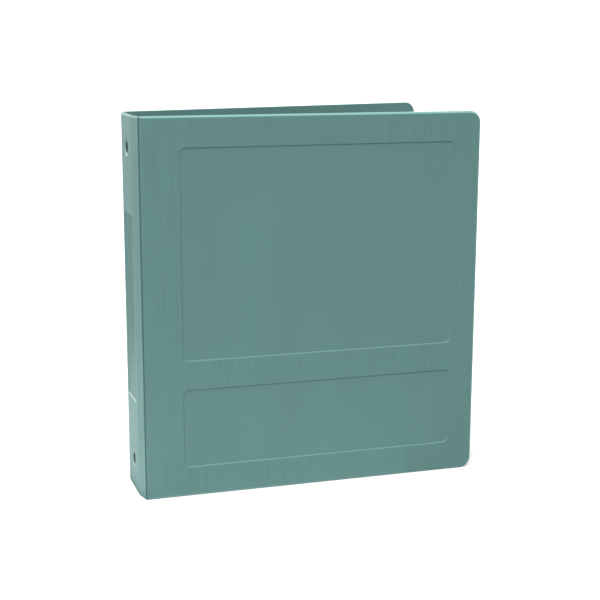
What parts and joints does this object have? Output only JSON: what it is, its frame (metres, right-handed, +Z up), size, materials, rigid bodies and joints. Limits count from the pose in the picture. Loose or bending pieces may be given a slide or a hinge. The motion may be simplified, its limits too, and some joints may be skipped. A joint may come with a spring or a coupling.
{
  "type": "stamp album",
  "caption": "Stamp album: a moulded plastic ring binder with living hinges, recessed cover panels and spine label field, a lever-opened ring mechanism and punched stock leaves.",
  "frame": {"origin": "middle of the bottom of the album's box, as it stands on the lower edges of its spine and covers", "axes": "+Z up along the spine, the spine's outside faces -X and the covers' free edges point to +X, the front cover faces -Y"},
  "size_m": [0.2734, 0.1224, 0.292],
  "materials": {
    "shell_plastic": "moulded teal polyethylene with a fine drawn grain, smooth in the recessed panels",
    "nickel_steel": "bright nickel plating",
    "blade_steel": "plated strip steel, dull",
    "eyelet_steel": "dark plated eyelet",
    "leaf_card": "black laminated stock card",
    "clear_film": "clear polyester holding strips"
  },
  "bodies": {
    "spine": {"spine_panel": "shell_plastic", "front_hinge_web": "shell_plastic", "back_hinge_web": "shell_plastic", "ring_housing": "nickel_steel", "top_eyelet": "eyelet_steel", "bottom_eyelet": "eyelet_steel", "top_lever_pin": "nickel_steel", "bottom_lever_pin": "nickel_steel"},
    "front_cover": {"front_cover": "shell_plastic"},
    "back_cover": {"back_cover": "shell_plastic"},
    "front_rings": {"front_blade": "blade_steel", "top_front_ring": "nickel_steel", "middle_front_ring": "nickel_steel", "bottom_front_ring": "nickel_steel"},
    "back_rings": {"back_blade": "blade_steel", "top_back_ring": "nickel_steel", "middle_back_ring": "nickel_steel", "bottom_back_ring": "nickel_steel"},
    "top_lever": {"top_lever": "nickel_steel"},
    "bottom_lever": {"bottom_lever": "nickel_steel"},
    "front_leaves": {"front_inner_leaf": "leaf_card", "front_outer_leaf": "leaf_card", "front_inner_strips": "clear_film", "front_outer_strips": "clear_film"},
    "back_leaves": {"back_inner_leaf": "leaf_card", "back_outer_leaf": "leaf_card", "back_inner_strips": "clear_film", "back_outer_strips": "clear_film"}
  },
  "joints": [
    {"name": "front_cover_hinge", "type": "hinge", "parent": "spine", "child": "front_cover", "pos_m": [-0.13324, -0.0559, 0.146], "axis": [0, 0, -1], "range_deg": [-1, 89], "deforming": ["front_hinge_web"]},
    {"name": "back_cover_hinge", "type": "hinge", "parent": "spine", "child": "back_cover", "pos_m": [-0.13324, 0.00481, 0.146], "axis": [0, 0, 1], "range_deg": [-12, 78], "deforming": ["back_hinge_web"]},
    {"name": "front_rings_open", "type": "hinge", "parent": "spine", "child": "front_rings", "pos_m": [-0.13074, -0.03605, 0.146], "axis": [0, 0, -1], "range_deg": [0, 12]},
    {"name": "back_rings_open", "type": "hinge", "parent": "spine", "child": "back_rings", "pos_m": [-0.13074, -0.01504, 0.146], "axis": [0, 0, 1], "range_deg": [0, 12]},
    {"name": "top_lever_turn", "type": "hinge", "parent": "spine", "child": "top_lever", "pos_m": [-0.12874, -0.02555, 0.2788], "axis": [0, -1, 0], "range_deg": [0, 18.51]},
    {"name": "bottom_lever_turn", "type": "hinge", "parent": "spine", "child": "bottom_lever", "pos_m": [-0.12874, -0.02555, 0.0132], "axis": [0, 1, 0], "range_deg": [0, 18.51]},
    {"name": "front_leaves_turn", "type": "hinge", "parent": "spine", "child": "front_leaves", "pos_m": [-0.11188, -0.02555, 0.146], "axis": [0, 0, -1], "range_deg": [-0.85, 75.65]},
    {"name": "back_leaves_turn", "type": "hinge", "parent": "spine", "child": "back_leaves", "pos_m": [-0.11188, -0.02555, 0.146], "axis": [0, 0, 1], "range_deg": [-10.2, 66.3]}
  ],
  "couplings": [
    {"joint": "back_rings_open", "follows": "front_rings_open", "ratio": 1},
    {"joint": "top_lever_turn", "follows": "front_rings_open", "ratio": 1.5417},
    {"joint": "bottom_lever_turn", "follows": "front_rings_open", "ratio": 1.5417},
    {"joint": "front_leaves_turn", "follows": "front_cover_hinge", "ratio": 0.85},
    {"joint": "back_leaves_turn", "follows": "back_cover_hinge", "ratio": 0.85}
  ]
}
